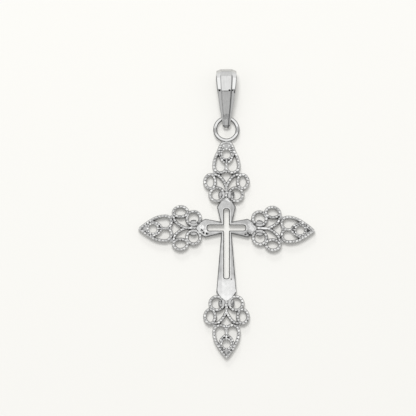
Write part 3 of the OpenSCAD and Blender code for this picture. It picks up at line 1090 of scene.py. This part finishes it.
def strap_shine(along, degrees, cap_reach):
    """Polish and painted light round one section: even and shaded over the top, then a bright painted
    highlight band, then by flats and ridges, with dark arcs of painted shade.
    """
    own = strap_row(FLAT_PAINTED_LIGHT, RIDGE_PAINTED_SHADE)
    gains = strap_row(LEG_FLAT_GAIN, LEG_RIDGE_GAIN)
    on_leg = [min(1.0, value + gain) for value, gain in zip(own, gains)]
    shine = blended(own, on_leg, smooth_share(along, *LEG_SPAN))
    if along > cap_reach - CAP_MARGIN:
        over_top, band = ([base + part * value for value in own] for base, part in (OVER_TOP, BAND))
        upper = blended(over_top, band, smooth_share(degrees, *TOP_TO_BAND))
        shine = blended(upper, shine, smooth_share(degrees, *BAND_TO_LEG))
    dark = smooth_share(abs(degrees - NECK_FACING), *NECK_SPAN) + smooth_share(degrees, *EYE_SPAN)
    return [value * (1 - ARC_LOSS * dark) for value in shine]


def tapered_bail():
    """The bail: a loop of strap with three outer facets, lying back on the ring."""
    offset = BAIL_CURVE - BAIL_DEPTH / 2
    cap_facing = math.radians(CAP_FACING)
    cap_radius = BAIL_CURVE - offset / math.sin(cap_facing)
    cap_reach = BAIL_REACH + offset / math.tan(cap_facing)
    eye_radius = BAIL_EYE_DEPTH / 2
    leg_facing = math.pi / 2 + touching_slope(BAIL_REACH + BAIL_SLACK, eye_radius)

    def on_arc(arc_data, facing):
        along, out, radius = arc_data
        return (along + radius * math.cos(facing), out + radius * math.sin(facing), facing)

    def along_arc(arc_data, start, end, steps):
        return [on_arc(arc_data, start + (end - start) * i / steps) for i in range(1, steps + 1)]

    # Arcs, as (distance from the hinge, height, radius), then the front of the loop, as (distance from the
    # hinge, height, facing), which the back mirrors
    cap_arc = (cap_reach, 0.0, cap_radius)
    curve_arc = (BAIL_REACH, -offset, BAIL_CURVE)
    eye_arc = (-BAIL_SLACK, 0.0, eye_radius)
    top, end = on_arc(curve_arc, leg_facing), on_arc(eye_arc, leg_facing)
    front = [on_arc(cap_arc, 0.0)]
    front += along_arc(cap_arc, 0.0, cap_facing, CAP_STEPS)
    front += along_arc(curve_arc, cap_facing, leg_facing, CURVE_STEPS)
    for i in range(1, LEG_STEPS + 1):
        front.append(tuple(a + (b - a) * i / LEG_STEPS for a, b in zip(top, end)))
    front += along_arc(eye_arc, leg_facing, math.pi, EYE_STEPS)
    places = front + [(a, -o, -f) for a, o, f in reversed(front[1:-1])]

    rings, shines = [], []
    for along, out, facing in places:
        half = bail_width_at(along, cap_reach) / 2
        share = min(1.0, max(0.0, (along + BAIL_SLACK) / (cap_reach + BAIL_SLACK)))
        wall = BAIL_EYE_WALL + (BAIL_WALL - BAIL_EYE_WALL) * share
        edge, middle = wall * FACET_DROP, half * MIDDLE_SHARE
        corners = [(-half, wall), (half, wall), (half, edge), (middle, 0), (-middle, 0), (-half, edge)]
        outline = softened([Vector(c) for c in corners], CORNER_CUTS)
        shines.append(strap_shine(along, math.degrees(facing), cap_reach))
        rings.append([
            Vector((p.x, along - p.y * math.cos(facing), out - p.y * math.sin(facing))) for p in outline
        ])
    hung = Matrix.Translation(Vector((0, RING_REACH + RING_RADIUS, RING_HEIGHT)))
    tilted = Matrix.Rotation(touching_slope(BAIL_REACH, RING_HEIGHT), 4, "X")
    return closed_loop(rings, shines, "tapered_bail", PLACE @ hung @ tilted)


# Shader nodes

def node(tree, kind, inputs=None, **settings):
    made = tree.nodes.new(kind)
    for name, value in settings.items():
        setattr(made, name, value)
    for key, value in (inputs or {}).items():
        if isinstance(value, bpy.types.NodeSocket):
            tree.links.new(value, made.inputs[key])
        else:
            made.inputs[key].default_value = value
    return made


def math_node(tree, operation, a, b=0.0, clamp=False):
    return node(tree, "ShaderNodeMath", {0: a, 1: b}, operation=operation, use_clamp=clamp).outputs[0]


def added(tree, total, *terms):
    """A value to which products are added, each given as (value, factor)."""
    for value, factor in terms:
        total = math_node(tree, "ADD", total, math_node(tree, "MULTIPLY", value, factor))
    return total


def ranged(tree, value, span, values=(0.0, 1.0)):
    """Goes from the first value to the second while the input goes through the span."""
    return node(tree, "ShaderNodeMapRange", {0: value, 1: span[0], 2: span[1], 3: values[0], 4: values[1]},
                interpolation_type="SMOOTHSTEP").outputs[0]


def mixed_color(tree, share, first, second):
    return node(tree, "ShaderNodeMix", {0: share, 6: first, 7: second}, data_type="RGBA").outputs[2]


def mixed_value(tree, share, first, second):
    return node(tree, "ShaderNodeMix", {0: share, 2: first, 3: second}, data_type="FLOAT").outputs[0]


def new_group(name, inputs, outputs):
    """A shader node group, as (group, what it is given, what it gives)."""
    group = bpy.data.node_groups.new(name, "ShaderNodeTree")
    for socket, kind, default in inputs:
        group.interface.new_socket(socket, in_out="INPUT", socket_type=kind).default_value = default
    for socket, kind in outputs:
        group.interface.new_socket(socket, in_out="OUTPUT", socket_type=kind)
    return group, group.nodes.new("NodeGroupInput").outputs, group.nodes.new("NodeGroupOutput").inputs


def worked_metal_group():
    """Colour, roughness and surface height of cast white metal, from dull low places and painted shade to
    polished tops and painted highlights.
    """
    inputs = [
        ("Polish_and_painted_light", "NodeSocketFloat", 1.0),
        ("Pits", "NodeSocketFloat", 0.0),
        ("Glints", "NodeSocketFloat", 0.0),
        ("Bright", "NodeSocketColor", (0.8, 0.8, 0.8, 1)),
        ("Dull", "NodeSocketColor", (0.3, 0.3, 0.3, 1)),
        ("Smoothness", "NodeSocketFloat", 0.1),
        ("Mottling", "NodeSocketFloat", 0.2),
        ("Streaks", "NodeSocketFloat", 0.1),
        ("Unevenness", "NodeSocketFloat", 1.0),
        ("Lengthwise", "NodeSocketVector", PLAIN),
    ]
    outputs = [("Color", "NodeSocketColor"), ("Roughness", "NodeSocketFloat"), ("Height", "NodeSocketFloat")]
    group, given, gives = new_group("worked_metal", inputs, outputs)
    place = node(group, "ShaderNodeTexCoord").outputs["Object"]

    def noise(vector, scale, detail):
        made = node(group, "ShaderNodeTexNoise", {"Vector": vector, "Scale": scale, "Detail": detail})
        return math_node(group, "SUBTRACT", made.outputs[0], 0.5)

    clouds = noise(place, CLOUD_SCALE, 3.0)
    waves = noise(place, WAVE_SCALE, 1.0)
    drawn = node(group, "ShaderNodeVectorMath", {0: place, 1: given["Lengthwise"]}, operation="MULTIPLY")
    lines = noise(drawn.outputs[0], LINE_SCALE, 3.0)
    shine = added(group, given["Polish_and_painted_light"], (clouds, given["Mottling"]), (lines, given["Streaks"]),
                  (given["Glints"], GLINT_GAIN))
    clean = math_node(group, "SUBTRACT", 1.0, given["Pits"])
    shine = math_node(group, "MULTIPLY", shine, clean, clamp=True)
    color = mixed_color(group, shine, given["Dull"], given["Bright"])
    color = mixed_color(group, math_node(group, "MULTIPLY", given["Pits"], PIT_COVER), color, PIT_COLOR)
    dullness = ranged(group, shine, (0.0, 1.0), (DULL_ROUGHNESS, 0.0))
    rough = math_node(group, "ADD", dullness, given["Smoothness"])
    height = math_node(group, "MULTIPLY", waves, given["Unevenness"])
    group.links.new(color, gives["Color"])
    group.links.new(added(group, rough, (lines, LINE_ROUGHNESS)), gives["Roughness"])
    group.links.new(added(group, height, (lines, LINE_HEIGHT), (clean, CLEAN_HEIGHT)), gives["Height"])
    return group


def spot_group():
    """A pit or a glint: a round mask whose ragged edge breaks up into many small spots."""
    inputs = [
        ("Centre", "NodeSocketVector", (0.0, 0.0, 0.0)),
        ("Reach", "NodeSocketFloat", 0.0001),
        ("Raggedness", "NodeSocketFloat", 0.0),
        ("Depth", "NodeSocketFloat", 1.0),
        ("Grain", "NodeSocketFloat", 5500.0),
    ]
    group, given, gives = new_group("metal_spot", inputs, [("Mask", "NodeSocketFloat")])
    place = node(group, "ShaderNodeTexCoord").outputs["Object"]
    away = node(group, "ShaderNodeVectorMath", {0: place, 1: given["Centre"]}, operation="DISTANCE")
    far = math_node(group, "DIVIDE", away.outputs["Value"], given["Reach"])
    near = math_node(group, "SUBTRACT", 1.0, far, clamp=True)
    grain = node(group, "ShaderNodeTexNoise", {"Vector": place, "Scale": given["Grain"], "Detail": 1.0})
    speckle = math_node(group, "SUBTRACT", grain.outputs[0], SPECKLE_MIDDLE)
    mask = ranged(group, added(group, near, (speckle, given["Raggedness"])), SPOT_EDGE)
    mask = math_node(group, "MULTIPLY", mask, ranged(group, near, SPOT_RIM))
    group.links.new(math_node(group, "MULTIPLY", mask, given["Depth"]), gives["Mask"])
    return group


def spots_mask(tree, group, spots):
    """One mask for all the spots of a piece."""
    mask = None
    for across, up, height, reach, raggedness, depth, grain in spots:
        values = {"Centre": (across * MM, up * MM + CROSSING_Y, height * MM), "Reach": reach * MM,
                  "Raggedness": raggedness, "Depth": depth, "Grain": grain}
        here = node(tree, "ShaderNodeGroup", values, node_tree=group).outputs["Mask"]
        mask = here if mask is None else math_node(tree, "MAXIMUM", mask, here)
    return mask


def white_metal(name, groups, pits=(), glints=()):
    """The metal of one kind of piece, in its finish and with its pits and glints."""
    worked_metal, metal_spot = groups
    finish = FINISHES[name]
    material = bpy.data.materials.new(name)
    material.use_nodes = True
    tree = material.node_tree
    values = {
        "Polish_and_painted_light": node(tree, "ShaderNodeAttribute", attribute_name="polish_and_painted_light").outputs["Fac"],
        "Bright": (finish.bright, finish.bright, finish.bright * BLUE_SHARE, 1),
        "Dull": (finish.dull, finish.dull, finish.dull, 1),
        "Smoothness": finish.smoothness,
        "Mottling": finish.mottling,
        "Streaks": finish.streaks,
        "Unevenness": finish.unevenness,
        "Lengthwise": finish.lengthwise,
    }
    if pits:
        values["Pits"] = spots_mask(tree, metal_spot, pits)
    if glints:
        values["Glints"] = spots_mask(tree, metal_spot, glints)
    worked = node(tree, "ShaderNodeGroup", values, node_tree=worked_metal).outputs
    bump = node(tree, "ShaderNodeBump", {"Strength": 1.0, "Distance": RELIEF, "Height": worked["Height"]})
    shader = tree.nodes["Principled BSDF"]
    shader.inputs["Metallic"].default_value = 1.0
    tree.links.new(worked["Color"], shader.inputs["Base Color"])
    tree.links.new(worked["Roughness"], shader.inputs["Roughness"])
    tree.links.new(bump.outputs["Normal"], shader.inputs["Normal"])
    return material


# Studio

def studio_floor():
    """A pale floor with a glow of its own."""
    bm = bmesh.new()
    bmesh.ops.create_grid(bm, x_segments=1, y_segments=1, size=1.0)
    mesh = kept_mesh(bm, "studio_floor")
    piece = bpy.data.objects.new("studio_floor", mesh)
    bpy.context.scene.collection.objects.link(piece)
    material = bpy.data.materials.new("pale_floor")
    material.use_nodes = True
    shader = material.node_tree.nodes["Principled BSDF"]
    shader.inputs["Base Color"].default_value = FLOOR_COLOR
    shader.inputs["Roughness"].default_value = 0.9
    shader.inputs["Specular IOR Level"].default_value = 0.0
    shader.inputs["Emission Color"].default_value = FLOOR_GLOW
    shader.inputs["Emission Strength"].default_value = 1.0
    mesh.materials.append(material)


def studio_world():
    """A soft ceiling, dimmer back and front, with bright sides, a dark seam and a darker horizon."""
    world = bpy.data.worlds.new("studio")
    world.use_nodes = True
    bpy.context.scene.world = world
    tree = world.node_tree
    ray = node(tree, "ShaderNodeTexCoord").outputs["Generated"]
    x, y, z = node(tree, "ShaderNodeSeparateXYZ", {0: ray}).outputs
    up = math_node(tree, "MAXIMUM", z, LEAST_RISE)
    across = math_node(tree, "ABSOLUTE", math_node(tree, "DIVIDE", x, up))
    ahead = math_node(tree, "DIVIDE", y, up)
    light = mixed_value(tree, ranged(tree, ahead, BACK_EDGE), 1.0, BACK_LIGHT)
    light = added(tree, light, (ranged(tree, across, SIDE_EDGE), SIDE_GAIN))
    light = mixed_value(tree, ranged(tree, ahead, FRONT_EDGE), FRONT_LIGHT, light)
    starts, ends = ranged(tree, ahead, SEAM_START), ranged(tree, ahead, SEAM_END, (1.0, 0.0))
    seam = math_node(tree, "MULTIPLY", starts, ends)
    light = math_node(tree, "MULTIPLY", light, ranged(tree, seam, (0.0, 1.0), (1.0, SEAM_LIGHT)))
    light = math_node(tree, "MULTIPLY", light, ranged(tree, z, HORIZON_SPAN, (HORIZON_LIGHT, 1.0)))
    color = node(tree, "ShaderNodeCombineColor", {0: light, 1: light, 2: light}).outputs[0]
    camera_ray = node(tree, "ShaderNodeLightPath").outputs["Is Camera Ray"]
    tree.links.new(mixed_color(tree, camera_ray, color, BACKDROP), tree.nodes["Background"].inputs["Color"])


def panel_light(name, power, size, place):
    """A square lamp that faces the pendant and isn't mirrored in it."""
    light = bpy.data.lights.new(name, "AREA")
    light.shape = "SQUARE"
    light.size = size
    light.energy = power
    lamp = bpy.data.objects.new(name, light)
    lamp.location = place
    lamp.rotation_euler = Vector(lamp.location).to_track_quat("Z", "Y").to_euler()
    lamp.visible_glossy = False
    lamp.visible_camera = False
    bpy.context.scene.collection.objects.link(lamp)


def camera():
    """Nearly straight above, with a long lens, framed as the photograph is."""
    data = bpy.data.cameras.new("camera")
    data.sensor_width = 36.0
    data.lens = data.sensor_width * CAMERA_DISTANCE / FRAME_WIDTH
    data.clip_end = 10.0
    eye = bpy.data.objects.new("camera", data)
    lean = math.radians(CAMERA_LEAN)
    eye.location = Vector(VIEW_CENTRE) + CAMERA_DISTANCE * Vector((0, -math.sin(lean), math.cos(lean)))
    eye.rotation_euler = (lean, 0, 0)
    bpy.context.scene.collection.objects.link(eye)
    bpy.context.scene.camera = eye


# Pendant

rng = random.Random(SEED)
bead, wires = bead_mesh(), scroll_wires()
scrolls = [scroll_end(arm, wires, bead, rng) for arm in ARMS]
bpy.data.meshes.remove(bead)
bpy.data.meshes.remove(wires)
plate = cross_plate()
ring = pendant_ring()
bail_piece = tapered_bail()

groups = (worked_metal_group(), spot_group())
filigree_metal = white_metal("filigree_metal", groups)
for piece in scrolls:
    piece.data.materials.append(filigree_metal)
plate.data.materials.append(white_metal("plate_metal", groups, PLATE_PITS, PLATE_GLINTS))
ring.data.materials.append(white_metal("ring_metal", groups, RING_PITS))
bail_piece.data.materials.append(white_metal("bail_metal", groups, BAIL_PITS))

for piece in scrolls + [plate, ring]:
    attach(piece, "cross")
    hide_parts("filigree_cross")
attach(bail_piece, "bail")
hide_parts("bail")

studio_floor()
studio_world()
for lamp in LAMPS:
    panel_light(*lamp)
camera()
view = bpy.context.scene.view_settings
view.view_transform = "Standard"
